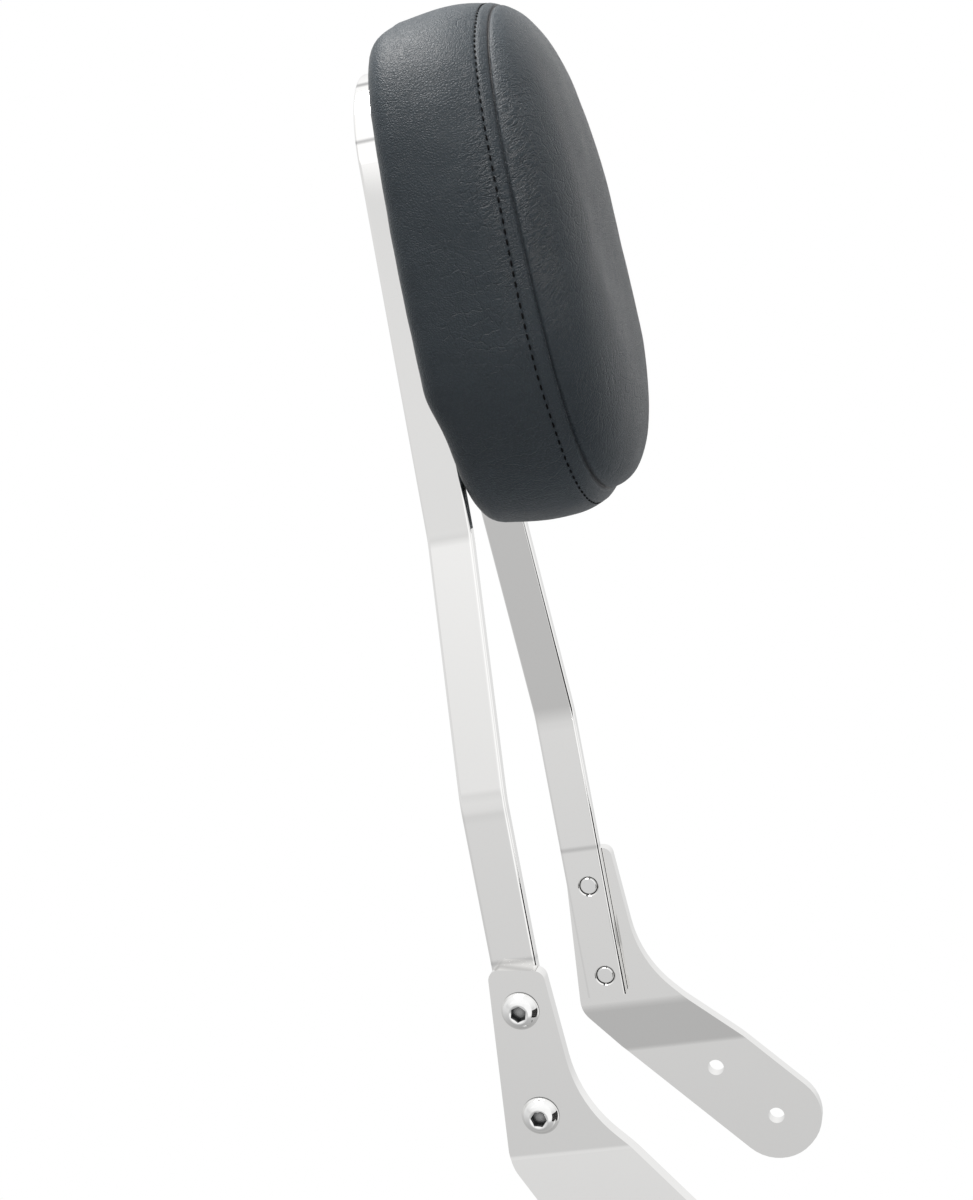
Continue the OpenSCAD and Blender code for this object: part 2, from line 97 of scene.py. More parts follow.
def bare_material(name):
    m = bpy.data.materials.new(name)
    m.use_nodes = True
    nt = m.node_tree
    nt.nodes.clear()
    return m, nt, nt.nodes.new("ShaderNodeOutputMaterial")


def new_material(name):
    m, nt, out = bare_material(name)
    bsdf = nt.nodes.new("ShaderNodeBsdfPrincipled")
    nt.links.new(bsdf.outputs[0], out.inputs[0])
    return m, nt, bsdf


def add(nt, kind, inputs=None, **props):
    n = nt.nodes.new(kind)
    for k, v in props.items():
        setattr(n, k, v)
    for k, v in (inputs or {}).items():
        if isinstance(v, bpy.types.NodeSocket):
            nt.links.new(v, n.inputs[k])
        else:
            n.inputs[k].default_value = v
    return n


def calc(nt, op, a, b=0.0, c=0.0, clamp=False):
    n = nt.nodes.new("ShaderNodeMath")
    n.operation = op
    n.use_clamp = clamp
    for i, v in enumerate((a, b, c)):
        if isinstance(v, bpy.types.NodeSocket):
            nt.links.new(v, n.inputs[i])
        else:
            n.inputs[i].default_value = v
    return n.outputs[0]


def product(nt, first, *others):
    for v in others:
        first = calc(nt, "MULTIPLY", first, v)
    return first


def span(nt, value, lo, hi, out_lo=0.0, out_hi=1.0):
    """A smooth step from out_lo to out_hi as value goes from lo to hi."""
    n = add(nt, "ShaderNodeMapRange", {0: value, 1: lo, 2: hi, 3: out_lo, 4: out_hi},
            interpolation_type="SMOOTHSTEP")
    return n.outputs[0]


def noise(nt, vector, scale, detail, roughness=0.5, distortion=0.0):
    return add(nt, "ShaderNodeTexNoise", {"Vector": vector, "Scale": scale, "Detail": detail,
                                          "Roughness": roughness, "Distortion": distortion})


def warped(nt, pos, reach, scale, detail, roughness=0.5):
    """The place pos pushed about by a noise, up to reach metres, so that lines drawn there wander."""
    push = noise(nt, pos, scale, detail, roughness).outputs["Color"]
    push = add(nt, "ShaderNodeVectorMath", {0: push, 1: (reach, reach, reach)}, operation="MULTIPLY")
    return add(nt, "ShaderNodeVectorMath", {0: pos, 1: push.outputs[0]}, operation="ADD").outputs[0]


def cell_edge(nt, vector, scale):
    """The distance to the nearest border between random cells."""
    return add(nt, "ShaderNodeTexVoronoi", {"Vector": vector, "Scale": scale},
               feature="DISTANCE_TO_EDGE").outputs["Distance"]


def ramp(nt, value, stops):
    n = add(nt, "ShaderNodeValToRGB", {0: value})
    e = n.color_ramp.elements
    while len(e) < len(stops):
        e.new(0.5)
    for el, (place, grey) in zip(e, stops):
        el.position = place
        el.color = (grey, grey, grey, 1.0)
    return n.outputs[0]


def mix_colour(nt, fac, a, b):
    n = nt.nodes.new("ShaderNodeMix")
    n.data_type = "RGBA"
    for i, v in ((0, fac), (6, a), (7, b)):
        if isinstance(v, bpy.types.NodeSocket):
            nt.links.new(v, n.inputs[i])
        elif i:
            n.inputs[i].default_value = (*v, 1.0)
        else:
            n.inputs[i].default_value = v
    return n.outputs[2]


def mix_shader(nt, fac, a, b):
    return add(nt, "ShaderNodeMixShader", {0: fac, 1: a.outputs[0], 2: b.outputs[0]})


def relief(nt, bsdf, height, strength, distance):
    """A bump of the surface. distance is in metres."""
    bump = add(nt, "ShaderNodeBump", {"Height": height, "Strength": strength, "Distance": distance})
    nt.links.new(bump.outputs[0], bsdf.inputs["Normal"])


# Materials

PAINTED_REFLECTION_GREY = (0.16, 0.16, 0.165)       # painted reflection: the grey that a bend line mirrors, painted into the metal's colour
# the colour of the painted shade in sockets and under bolt heads
PAINTED_SHADE_COLOUR = (0.05, 0.052, 0.055)
PAINTED_SHADE_REACH = 0.008                   # metres within which a nearby wall darkens the metal with painted shade


def painted_band_darkness(nt, pos, painted_bands):
    """How much painted reflection and painted shade darken the metal at pos, from painted_bands of (height in
    mm, half width in mm, strength).
    """
    xyz = add(nt, "ShaderNodeSeparateXYZ", {0: pos})
    # height along the hoop, back in its upright frame
    up = calc(nt, "MULTIPLY", xyz.outputs[2], math.cos(LEAN) / MM)
    up = calc(nt, "MULTIPLY_ADD", xyz.outputs[0], -math.sin(LEAN) / MM, up)
    up = calc(nt, "ADD", up, HOLE_Z)
    dark = 0.0
    for z, half, strength in painted_bands:
        off = calc(nt, "ABSOLUTE", calc(nt, "SUBTRACT", up, z))
        dark = calc(nt, "MAXIMUM", dark, span(nt, off, 0.0, half, strength, 0.0))
    return dark


def chrome_material(name, tint, painted_bands=(), painted_recess_shade=False):
    """Polished chrome: faint clouding in its roughness, and a very slight waviness. painted_bands are soft
    grey
    lines painted across the bar: painted reflections where it was bent, and painted shade where a plate
    begins.
    painted_recess_shade is painted shade from ambient occlusion: it darkens the bottom of sockets and the
    joint under a bolt's head."""
    m, nt, bsdf = new_material(name)
    pos = add(nt, "ShaderNodeTexCoord").outputs["Object"]
    cloud = noise(nt, pos, 22.0, 3.0).outputs[0]
    fine = noise(nt, pos, 900.0, 1.0).outputs[0]
    smoothest, clouding, haze = 0.02, 0.03, 0.015
    rough = calc(nt, "MULTIPLY_ADD", cloud, clouding, smoothest)
    rough = calc(nt, "MULTIPLY_ADD", fine, haze, rough)
    nt.links.new(rough, bsdf.inputs["Roughness"])
    base = mix_colour(nt, cloud, tuple(0.985 * t for t in tint), tint)
    # painted reflection and painted shade: grey lines across the bar
    if painted_bands:
        base = mix_colour(nt, painted_band_darkness(nt, pos, painted_bands), base, PAINTED_REFLECTION_GREY)
    if painted_recess_shade:
        # painted shade: the metal is darker where ambient occlusion finds a nearby wall
        open_sky = add(nt, "ShaderNodeAmbientOcclusion", {"Distance": PAINTED_SHADE_REACH}, samples=12).outputs["AO"]
        base = mix_colour(nt, span(nt, open_sky, 0.30, 0.80), PAINTED_SHADE_COLOUR, base)
    nt.links.new(base, bsdf.inputs["Base Color"])
    bsdf.inputs["Metallic"].default_value = 1.0
    wave = noise(nt, pos, 9.0, 1.0, 0.4).outputs[0]
    relief(nt, bsdf, wave, strength=0.06, distance=0.0012)
    return m


def pucker_height(nt, off, along, up, patch):
    """Short wrinkles that fan out of the seam, strongest in the upper half of the front panel and weaker
    behind the topstitch. patch breaks them up."""
    tilt = calc(nt, "MULTIPLY_ADD", off, 0.75, along)
    fan = add(nt, "ShaderNodeCombineXYZ", {0: calc(nt, "MULTIPLY", tilt, 0.42),
                                           1: calc(nt, "MULTIPLY", off, 0.17), 2: 0.0})
    fold = noise(nt, fan.outputs[0], 1.0, 3.0, 0.55, 0.6).outputs[0]
    ridge = calc(nt, "ABSOLUTE", calc(nt, "SUBTRACT", fold, 0.5))
    ridge = calc(nt, "SUBTRACT", 0.085, ridge, clamp=True)
    in_front = product(nt, span(nt, off, 0.3, 2.0), span(nt, off, 8.0, 34.0, 1.0, 0.0))
    behind = product(nt, span(nt, off, -26.0, -9.0), span(nt, off, -9.0, -1.0, 0.75, 0.45),
                     span(nt, off, -0.5, 0.5, 1.0, 0.0))
    upper_half = span(nt, up, -85.0, 20.0, 0.16, 1.0)
    not_at_top = span(nt, up, 108.0, 140.0, 1.0, 0.3)
    broken = span(nt, patch, 0.36, 0.60, 0.45, 1.0)
    return product(nt, ridge, calc(nt, "ADD", in_front, behind), upper_half, not_at_top, broken)


def vinyl_material(name):
    """Black grained vinyl. It reads three values in mm that the pad's mesh carries: seam_off, the distance
    from the front seam (negative on the side), along, the way round the seam, and height, above the
    pad's widest place."""
    grain_depth, crease_depth, pucker_depth = 0.14, -0.20, -4.4
    light_tone, dark_tone = (0.018, 0.025, 0.031), (0.0140, 0.0205, 0.0265)
    valley, joint = (0.011, 0.015, 0.019), (0.004, 0.004, 0.005)
    m, nt, bsdf = new_material(name)
    pos = add(nt, "ShaderNodeTexCoord").outputs["Object"]
    off, along, up = (add(nt, "ShaderNodeAttribute", attribute_name=key).outputs["Fac"]
                      for key in ("seam_off", "along", "height"))

    # pebble grain, about 1.4 mm, with finer pores
    pebble = span(nt, cell_edge(nt, warped(nt, pos, 0.0018, 300.0, 2.0), 700.0), 0.0, 0.30)
    pores = noise(nt, pos, 2600.0, 2.0).outputs[0]
    grain = calc(nt, "MULTIPLY_ADD", pores, 0.35, pebble)

    # long faint creases of the backing, here and there
    crease = span(nt, cell_edge(nt, warped(nt, pos, 0.012, 60.0, 3.0, 0.6), 125.0), 0.0, 0.07, 1.0, 0.0)
    patch = noise(nt, pos, 17.0, 2.0).outputs[0]
    crease = calc(nt, "MULTIPLY", crease, span(nt, patch, 0.42, 0.62))

    height = calc(nt, "MULTIPLY", grain, grain_depth)
    height = calc(nt, "MULTIPLY_ADD", crease, crease_depth, height)
    height = calc(nt, "MULTIPLY_ADD", pucker_height(nt, off, along, up, patch), pucker_depth, height)
    relief(nt, bsdf, height, strength=1.0, distance=0.001)

    tone = noise(nt, pos, 28.0, 3.0).outputs[0]
    base = mix_colour(nt, tone, dark_tone, light_tone)
    base = mix_colour(nt, span(nt, pebble, 0.0, 1.0, 0.5, 1.0), valley, base)
    # the joint opens into a dark line only round the top and the bottom
    crack = span(nt, calc(nt, "ABSOLUTE", off), 0.1, 0.7, 1.0, 0.0)
    crack = calc(nt, "MULTIPLY", crack, span(nt, calc(nt, "ABSOLUTE", up), 80.0, 125.0, 0.30, 1.0))
    nt.links.new(mix_colour(nt, crack, base, joint), bsdf.inputs["Base Color"])
    rough = calc(nt, "MULTIPLY_ADD", pores, 0.12, 0.40)
    rough = calc(nt, "MULTIPLY_ADD", tone, 0.08, rough)
    nt.links.new(rough, bsdf.inputs["Roughness"])
    bsdf.inputs["Specular IOR Level"].default_value = 0.26
    bsdf.inputs["Sheen Weight"].default_value = 0.075
    bsdf.inputs["Sheen Roughness"].default_value = 0.35
    return m


def plain_material(name, colour, roughness, metallic=0.0, scale=300.0, bump=0.1, specular=0.5):
    """Grey metal, board, foam, thread or black sheet, with its own noise in colour, roughness and relief."""
    vary = 0.15
    m, nt, bsdf = new_material(name)
    pos = add(nt, "ShaderNodeTexCoord").outputs["Object"]
    fine = noise(nt, pos, scale, 4.0).outputs[0]
    big = noise(nt, pos, scale / 12, 2.0).outputs[0]
    dark = tuple(c * (1 - vary) for c in colour)
    light = tuple(c * (1 + vary) for c in colour)
    nt.links.new(mix_colour(nt, big, dark, light), bsdf.inputs["Base Color"])
    nt.links.new(calc(nt, "MULTIPLY_ADD", fine, 0.15, roughness - 0.05), bsdf.inputs["Roughness"])
    relief(nt, bsdf, fine, strength=bump, distance=0.0005)
    bsdf.inputs["Metallic"].default_value = metallic
    bsdf.inputs["Specular IOR Level"].default_value = specular
    return m


CHROME = (0.93, 0.925, 0.915)
# height, half width and strength of the painted grey lines: painted reflections at the hoop's corner and the
# flare, painted shade at the plates' tops
PAINTED_BAND_LINES = ((477.0, 1.8, 0.55), (509.0, 1.8, 0.65), (108.0, 5.0, 0.05), (25.0, 2.6, 0.30))
hoop_chrome = chrome_material("hoop_chrome", CHROME, PAINTED_BAND_LINES)
plate_chrome = chrome_material("plate_chrome", CHROME)
# the bolts' steel carries painted shade in its sockets and under the heads
bolt_steel = chrome_material("bolt_steel", (0.90, 0.90, 0.895), painted_recess_shade=True)
vinyl = vinyl_material("black_vinyl")
thread = plain_material("thread", (0.0015, 0.0015, 0.0018), 0.9, scale=2500.0, bump=0.4, specular=0.1)
panel_black = plain_material("panel_black", (0.022, 0.022, 0.023), 0.7, scale=900.0, bump=0.5)
zinc = plain_material("zinc", (0.55, 0.55, 0.54), 0.32, metallic=1.0, scale=700.0)
staple_steel = plain_material("staple_steel", (0.45, 0.45, 0.45), 0.35, metallic=1.0, scale=900.0)
ply = plain_material("ply", (0.48, 0.34, 0.20), 0.7, scale=120.0, bump=0.3)
foam_stuff = plain_material("foam_stuff", (0.60, 0.56, 0.42), 0.95, scale=900.0, bump=0.8)


# Mesh helpers

def mesh_object(name, verts, faces):
    me = bpy.data.meshes.new(name)
    me.from_pydata([tuple(v) for v in verts], [], [tuple(f) for f in faces])
    me.update()
    ob = bpy.data.objects.new(name, me)
    scene.collection.objects.link(ob)
    return ob


def closed_object(name, verts, faces):
    """A closed mesh with its faces turned outward."""
    ob = mesh_object(name, verts, faces)
    bm = bmesh.new()
    bm.from_mesh(ob.data)
    bmesh.ops.recalc_face_normals(bm, faces=bm.faces)
    bm.to_mesh(ob.data)
    bm.free()
    return ob


def new_piece(name, verts, faces, material, replaced=()):
    """A smooth closed piece of the dressed part, in place of the solids it names."""
    ob = closed_object(name, verts, faces)
    ob.data.materials.append(material)
    ob.data.shade_smooth()
    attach(ob, "root")
    if replaced:
        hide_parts(*replaced)
    return ob


def ring_faces(m, n, start=0):
    """Quads between m rings of n points each."""
    return [(start + i * n + j, start + i * n + (j + 1) % n, start + (i + 1) * n + (j + 1) % n,
             start + (i + 1) * n + j) for i in range(m - 1) for j in range(n)]


def capped_rings(m, n, start=0):
    """Quads between the rings, with one flat face over the first ring and one over the last."""
    end = start + m * n
    return ring_faces(m, n, start) + [tuple(range(start, start + n)), tuple(range(end - 1, end - n - 1, -1))]


def fanned_rings(m, n):
    """Quads between the rings, and fans to two middle points that follow them in the list of points."""
    first, last, top = m * n, m * n + 1, (m - 1) * n
    faces = ring_faces(m, n)
    faces += [(first, (j + 1) % n, j) for j in range(n)]
    return faces + [(last, top + j, top + (j + 1) % n) for j in range(n)]


def lathe(profile, k):
    """Points and faces of a turned shape about +Y, profile as (radius, y)."""
    turns = [2 * math.pi * i / k for i in range(k)]
    points = [(r * math.cos(t), y, r * math.sin(t)) for r, y in profile for t in turns]
    return points, capped_rings(len(profile), k)


def at_bolt(points, side, z, face_y):
    """Points about a plate bolt's axis, with y measured outward from face_y, in the row's frame."""
    return to_part([(BOLT_X + p[0], side * (face_y + p[1]), z + p[2]) for p in points])


def apply_modifiers(ob):
    dg = bpy.context.evaluated_depsgraph_get()
    me = bpy.data.meshes.new_from_object(ob.evaluated_get(dg))
    old = ob.data
    ob.modifiers.clear()
    ob.data = me
    me.name = old.name
    bpy.data.meshes.remove(old)


def cut_away(ob, name, verts, faces):
    """The closed shape taken out of ob."""
    tool = closed_object(name, verts, faces)
    mod = ob.modifiers.new("cut", "BOOLEAN")
    mod.object = tool
    mod.operation = "DIFFERENCE"
    mod.solver = "EXACT"
    apply_modifiers(ob)
    bpy.data.objects.remove(tool)


def even_shading(ob, angle=32):
    """Smooth shading with the large flat faces kept flat and edges over the angle kept sharp."""
    me = ob.data
    me.shade_smooth()
    bm = bmesh.new()
    bm.from_mesh(me)
    for e in bm.edges:
        e.smooth = not (len(e.link_faces) == 2 and e.calc_face_angle(0.0) > math.radians(angle))
    bm.to_mesh(me)
    bm.free()
    w = ob.modifiers.new("normals", "WEIGHTED_NORMAL")
    w.mode = "FACE_AREA"
    w.weight = 100
    w.keep_sharp = True


# Hoop

def bar_section(steps=7):
    """The bar's section with rounded long edges, as (outward, forward)."""
    a, b = BAR_T / 2 - BAR_ROUND, BAR_W / 2 - BAR_ROUND
    pts = []
    for cx, cy, a0 in ((a, b, 0), (-a, b, 90), (-a, -b, 180), (a, -b, 270)):
        for i in range(steps + 1):
            t = math.radians(a0 + 90 * i / steps)
            pts.append((cx + BAR_ROUND * math.cos(t), cy + BAR_ROUND * math.sin(t)))
    return pts


def bend(y, z, r, a0, a1, steps):
    """Places along an arc, as (y, z, angle)."""
    angles = [a0 + (a1 - a0) * i / steps for i in range(steps + 1)]
    return [(y + r * math.cos(a), z + r * math.sin(a), a) for a in angles]


def hoop_path():
    """The bar's middle from the left foot over the top to the right foot."""
    mid = FLARE_R + BAR_T / 2
    half = (FLARE - LEAN_IN) / 2
    off = FLARE_R / math.cos(half)
    corner_z = TOP_Z - CORNER_R
    cross = TOP_Y - (corner_z - UP_Z) * math.tan(LEAN_IN) - CORNER_R / math.cos(LEAN_IN)
    low_y, low_z = FOOT_Y - BAR_T - FLARE_R, LOW_Z - (FLARE_R + BAR_T) * math.tan(FLARE / 2)
    up_y, up_z = TOP_Y + off * math.cos(FLARE - half), UP_Z + off * math.sin(FLARE - half)
    p = [(FOOT_Y - BAR_T / 2, TAIL_Z, 0.0)]
    p += bend(low_y, low_z, mid, 0, FLARE, 16)
    p += bend(up_y, up_z, -mid, FLARE, LEAN_IN, 16)
    p += bend(cross, corner_z, CORNER_R - BAR_T / 2, LEAN_IN, math.pi / 2, 48)
    return p + [(-y, z, math.pi - a) for y, z, a in reversed(p)]


def build_hoop():
    """The bent bar with its four bolt bores, each countersunk a little on the inner face."""
    bore_r, sink_r, sink_depth, past = 6.1, 7.1, 0.7, 1.0
    section, path = bar_section(), hoop_path()
    verts = [(w, y + o * math.cos(a), z + o * math.sin(a)) for y, z, a in path for o, w in section]
    ob = new_piece("hoop_bar", to_part(verts), capped_rings(len(path), len(section)), hoop_chrome, ("hoop",))
    cone_end = sink_depth - (sink_r - bore_r)
    bore_points, bore_faces = lathe([(bore_r, past), (bore_r, sink_depth - BAR_T), (sink_r, cone_end - BAR_T),
                                     (sink_r, -past - BAR_T)], 48)
    for side in (-1, 1):
        for z in BOLT_HEIGHTS.values():
            cut_away(ob, "bore_tool", at_bolt(bore_points, side, z, FOOT_Y), bore_faces)
    even_shading(ob)


# Plates, straps and small hardware, from the CAD meshes

def softened(node, name, material, width):
    """The node's own shape with its sharp edges broken by a small round, and even shading."""
    merge, flat_angle, sharp_angle = 1e-6, math.radians(0.6), math.radians(35)
    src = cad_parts[node]
    me = src.data.copy()
    me.name = name
    me.materials.clear()
    me.materials.append(material)
    ob = bpy.data.objects.new(name, me)
    scene.collection.objects.link(ob)
    ob.matrix_world = src.matrix_world.copy()
    bm = bmesh.new()
    bm.from_mesh(me)
    bmesh.ops.remove_doubles(bm, verts=bm.verts, dist=merge)
    bmesh.ops.dissolve_limit(bm, angle_limit=flat_angle, verts=bm.verts, edges=bm.edges)
    bm.to_mesh(me)
    bm.free()
    b = ob.modifiers.new("round", "BEVEL")
    b.width = width * MM
    b.segments = 3
    b.limit_method = "ANGLE"
    b.angle_limit = sharp_angle
    b.use_clamp_overlap = True
    apply_modifiers(ob)
    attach(ob, "root")
    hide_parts(node)
    even_shading(ob)


def give_material(node, material):
    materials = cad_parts[node].data.materials
    materials.clear()
    materials.append(material)


# Bolts

def head_profile(head_r, head_h, flat_r):
    """A button head from under its rim over the dome to the flat crown. y is 0 under the head."""
    rim, centre_r, steps = 0.9, 3.0, 14
    # the dome is a ball's cap through the rim's top and the flat crown's edge
    dome_c = (flat_r ** 2 + head_h ** 2 - head_r ** 2 - rim ** 2) / (2 * (head_h - rim))
    dome_r = math.hypot(head_r, rim - dome_c)
    a_rim, a_flat = math.asin(head_r / dome_r), math.asin(flat_r / dome_r)
    profile = [(centre_r, -0.4), (head_r - 0.5, 0.0), (head_r - 0.12, 0.12), (head_r, 0.4),
               (head_r, rim - 0.15)]
    for i in range(steps + 1):
        a = a_rim + (a_flat - a_rim) * i / steps
        profile.append((dome_r * math.sin(a), dome_c + dome_r * math.cos(a)))
    return profile + [(flat_r - 0.35, head_h - 0.02), (centre_r, head_h)]


def shank_profile(length):
    """A threaded shank from under the head down to its chamfered end."""
    shank_r, crest_r, root_r, pitch = 5.9, 5.95, 5.1, 1.75
    profile = [(2.0, 0.5), (shank_r, 0.4)]
    y = -PLATE_T
    while y > -length + 1.4:
        profile += [(crest_r, y), (crest_r, y - 0.25), (root_r, y - 0.9), (root_r, y - 1.1)]
        y -= pitch
    return profile + [(shank_r, 1.3 - length), (4.9, 0.15 - length), (4.7, -length), (1.0, -length)]


def build_bolt(node, side, z):
    """Button head with a rounded rim and a hexagon socket, and a shank flush with the bar's inner face."""
    head_r, head_h, flat_r = 10.5, 6.6, 5.45
    key, socket_depth, past = 8.0, 4.6, 1.0
    turn = math.radians(17 if z == 0 else 47)       # how each bolt's socket came to stand
    face_y = FOOT_Y + PLATE_T
    points, faces = lathe(head_profile(head_r, head_h, flat_r), 96)
    head = new_piece(node + "_head", at_bolt(points, side, z, face_y), faces, bolt_steel, (node,))
    corner_r = key / 2 / math.cos(math.pi / 6)
    corners = [turn + math.pi / 3 * i for i in range(6)]
    points = [(corner_r * math.cos(a), y, corner_r * math.sin(a))
              for y in (head_h - socket_depth, head_h + past) for a in corners]
    cut_away(head, "hex_tool", at_bolt(points, side, z, face_y), capped_rings(2, 6))
    points, faces = lathe([(3.6, head_h - 0.9), (5.1, head_h + 0.1), (5.1, head_h + past)], 64)
    cut_away(head, "lead_tool", at_bolt(points, side, z, face_y), faces)
    even_shading(head, 28)
    points, faces = lathe(shank_profile(PLATE_T + BAR_T), 48)
    shank = new_piece(node + "_shank", at_bolt(points, side, z, face_y), faces, bolt_steel, (node,))
    even_shading(shank, 28)


# Pad

def ease(t):
    u = np.clip(t, 0, 1)
    return u * u * (3 - 2 * u)


def root(v, p):
    return np.sign(v) * np.abs(v) ** p


def pad_outline(a, f, inset):
    """y and z of the pad's outline at angles a. f is 0 at the back and 1 at the seam."""
    s, c = np.sin(a), np.cos(a)
    up = s >= 0
    m = np.where(up, SQ_UP[0] + (SQ_UP[1] - SQ_UP[0]) * f, SQ_DOWN[0] + (SQ_DOWN[1] - SQ_DOWN[0]) * f)
    h = np.where(up, PAD_UP[0] + (PAD_UP[1] - PAD_UP[0]) * f, PAD_DOWN[0] + (PAD_DOWN[1] - PAD_DOWN[0]) * f)
    return (PAD_Y - inset) * root(c, 2 / m), PAD_Z + (h - inset) * root(s, 2 / m)


def rim_depth(y, z):
    """x of the rim's back, which laps over the bar beside the uprights."""
    low = ease(1 - (PAD_Z - RIM_LOW - z) / RIM_FADE)
    return BAR_FRONT + (RIM_X - BAR_FRONT) * ease((np.abs(y) - TOP_Y + RIM_LAP) / RIM_SIDE_FADE) * low


def seam_x(z):
    t = (z - PAD_Z) / PAD_UP[0]
    return BAR_FRONT + SEAM_DEPTH - SEAM_WEDGE * t + t * t


CROWN_TIP = float(seam_x(np.array(PAD_Z))) + CROWN_H


def stitch_back(z):
    """Distance from the seam to the topstitch at height z. It narrows over the pad's middle."""
    low_z, over = PAD_Z - 30, 90
    return STITCH_BACK + (STITCH_BACK_TOP - STITCH_BACK) * ease((z - low_z) / over)


def low_part(a):
    """1 at the pad's lowest point, falling quickly to 0 round its lower half."""
    return np.maximum(0.0, -np.sin(a)) ** 3


def back_ring(a, t):
    """The flat back, from the hem's edge at 0 to the board's edge at 1."""
    y, z = pad_outline(a, 0, HEM_INSET + (BOARD_INSET - HEM_INSET) * t)
    return np.full_like(y, BAR_FRONT), y, z


def rim_ring(a, t):
    """From the board's edge at 0 the skin curves onto the rim's quarter round, which ends at 1."""
    skin_share = 0.3
    y0, z0 = pad_outline(a, 0, BOARD_INSET)
    y1, z1 = pad_outline(a, 0, RIM_R)
    if t < skin_share:
        w = t / skin_share
        return BAR_FRONT + (rim_depth(y1, z1) - BAR_FRONT) * ease(w), y0 + (y1 - y0) * w, z0 + (z1 - z0) * w
    b = (t - skin_share) / (1 - skin_share) * math.pi / 2
    y, z = pad_outline(a, 0, RIM_R * (1 - math.sin(b)))
    return rim_depth(y, z) + RIM_R * (1 - math.cos(b)), y, z


def side_ring(a, t):
    """The side, from the rim at 0 to the seam at 1. It turns in only close to the seam."""
    y, z = pad_outline(a, t, SEAM_INSET * t ** 3 + SEAM_LIFT * low_part(a) * t ** 9)
    x0 = rim_depth(y, z) + RIM_R
    return x0 + (seam_x(z) - x0) * t, y, z


def crown_ring(a, t):
    """The crowned front, from the seam at 0 to the middle at 1."""
    y, z = pad_outline(a, 1, SEAM_INSET + SEAM_LIFT * low_part(a))
    r = math.cos(t * math.pi / 2)
    edge = CROWN_EDGE - 0.15 * low_part(a)
    rise = CROWN_H * max(0.0, 1 - r ** CROWN_P) ** edge
    mid = seam_x(np.array(PAD_Z))
    return mid + (seam_x(z) - mid) * r + rise, y * r, PAD_Z + (z - PAD_Z) * r


def pad_ring(a, t):
    """One ring of the pad: t is 0 at the hem's edge, 1 at the board's, 2 at the rim, 3 at the seam and 4
    in the middle."""
    rings = (back_ring, rim_ring, side_ring, crown_ring)
    part = min(max(math.ceil(t) - 1, 0), 3)
    return np.stack(rings[part](a, t - part), -1)


def even_angles(n):
    """Angles whose points lie evenly round the pad. The first lies at the bottom on the far side."""
    a = np.linspace(0, 2 * math.pi, 8001) + math.radians(300)
    y, z = pad_outline(a, 0.7, 3)
    s = np.concatenate([[0], np.cumsum(np.hypot(np.diff(y), np.diff(z)))])
    return np.interp(np.arange(n) / n * s[-1], s, a), s[-1]


def outward_normals(grid):
    """Unit normals of a grid of rings, pointing away from the pad's inside."""
    normals = np.cross(np.roll(grid, -1, 1) - np.roll(grid, 1, 1), np.gradient(grid, axis=0))
    normals /= np.maximum(np.linalg.norm(normals, axis=2, keepdims=True), 1e-9)
    return -normals if ((grid - PAD_INSIDE) * normals).sum() < 0 else normals


def noise_field(rng, waves, lo, hi):
    """A smooth repeatable ripple as the sum of a few random waves, wavelengths lo to hi in mm."""
    k = []
    for _ in range(waves):
        d = np.array([rng.gauss(0, 1) for _ in range(3)])
        d /= np.linalg.norm(d)
        k.append((d * 2 * math.pi / rng.uniform(lo, hi), rng.uniform(0, 2 * math.pi)))
    return lambda p: sum(np.sin(p @ d + ph) for d, ph in k) / math.sqrt(waves)


def pad_rows():
    """The cushion's rings, by their distance in front of the seam and by their place t. They lie close at
    the seam and in the topstitch's channel."""
    near_side = np.array([math.pi])
    ts = np.concatenate([np.linspace(0, 3, 700), 3 + np.linspace(0, 1, 700)[1:] ** 1.5])
    pts = np.array([pad_ring(near_side, t).reshape(3) for t in ts])
    dist = np.concatenate([[0], np.cumsum(np.linalg.norm(np.diff(pts, axis=0), axis=1))])
    dist -= np.interp(3.0, ts, dist)
    back, front = -dist[0], dist[-1]
    behind = [0, 0.2, 0.4, 0.65, 1.0, 1.5, 2.2, 3.1, 4.2, 5.4, 6.2, 6.8] + [7.2 + 0.3 * i for i in range(11)]
    behind += [10.8, 11.7, 13]
    rows = [-d for d in reversed(behind)]
    d = -13.0
    while d > -back + 1.2:
        d -= 2.2
        rows.insert(0, max(d, -back))
    rows += [0.2, 0.4, 0.65, 1.0, 1.5, 2.2, 3.1, 4.2, 5.5, 7.0]
    while rows[-1] < front - 6:
        rows.append(rows[-1] + min(1.6 + 0.02 * rows[-1], 4.0))
    return rows, np.interp(rows, dist, ts), back, front


def seam_relief(off, channel):
    """How far the skin stands out: a crease at the seam, a raised welt between it and the topstitch, a soft
    lip in front and the channel that the topstitch pulls down. channel is the distance from its line."""
    crease, crease_half, welt, lip, dent, dent_half = 0.75, 0.7, 0.45, 0.25, 0.45, 0.9
    push = -crease * np.exp(-(np.abs(off) / crease_half) ** 1.5)
    push = push + welt * ease(channel / 2.2) * ease(-off / 1.8)
    push = push + lip * ease(off / 2.2) * ease((16 - off) / 14)
    return push - dent * np.exp(-(channel / dent_half) ** 2)


def soft_ripple(grid, off, back):
    """The slight unevenness of a covering over foam, faded out at the seam and at the back."""
    rng = random.Random(7)
    big_height, small_height = 0.30, 0.12
    big, small = noise_field(rng, 9, 70, 160), noise_field(rng, 14, 18, 42)
    soft = ease((off + back - 16) / 20) * ease((np.abs(off) - 2) / 10 + 0.15)
    return soft * (big_height * big(grid) + small_height * small(grid))


